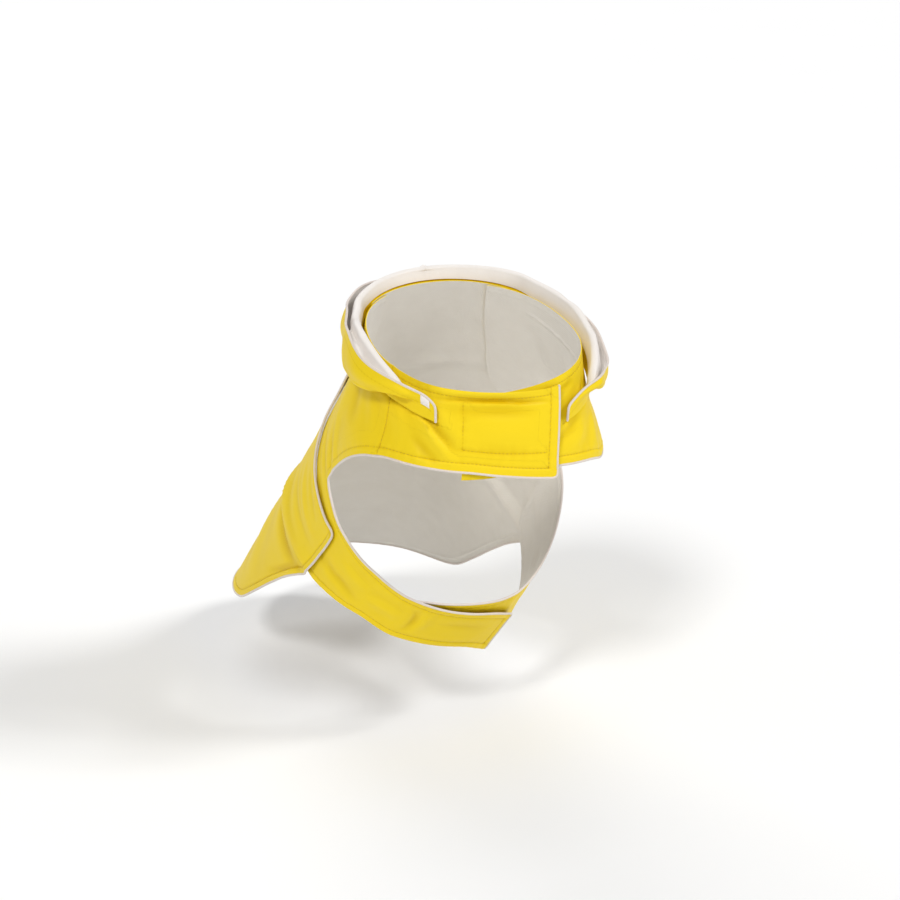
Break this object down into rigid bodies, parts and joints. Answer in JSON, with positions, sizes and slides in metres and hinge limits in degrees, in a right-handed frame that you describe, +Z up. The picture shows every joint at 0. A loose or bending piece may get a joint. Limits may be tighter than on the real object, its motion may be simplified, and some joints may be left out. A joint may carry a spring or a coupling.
{
  "type": "dog raincoat",
  "caption": "Worn dog raincoat of yellow coated cloth with white piping, a dropped lined hood, a chest closure and a belly closure.",
  "frame": {"origin": "mount wearer_back: on the middle of the back at the withers, at the coat's seam with the hood, where the wearer holds the coat up", "axes": "+Z up; the wearer faces -Y; +X is the wearer's left"},
  "size_m": [0.1879, 0.3954, 0.2832],
  "materials": {
    "coated_cloth": "satin polyurethane coating on a plain weave",
    "hood_lining": "smooth satin lining",
    "piping": "woven cord covering",
    "closure_tape": "matte hook and loop tape"
  },
  "bodies": {
    "root": {"back_panel": "coated_cloth", "side_panel_right": "coated_cloth", "side_panel_left": "coated_cloth", "chest_flap_right": "coated_cloth", "chest_flap_left": "coated_cloth", "chest_loop_tape": "closure_tape", "chest_hook_tape": "closure_tape", "belly_loop_tape": "closure_tape", "belly_hook_tape": "closure_tape", "hood_right": "coated_cloth", "hood_left": "coated_cloth", "hood_lining_right": "hood_lining", "hood_lining_left": "hood_lining", "hood_tab": "hood_lining", "hood_piping": "piping", "back_piping": "piping", "edge_piping_right": "piping", "edge_piping_left": "piping"}
  },
  "joints": []
}
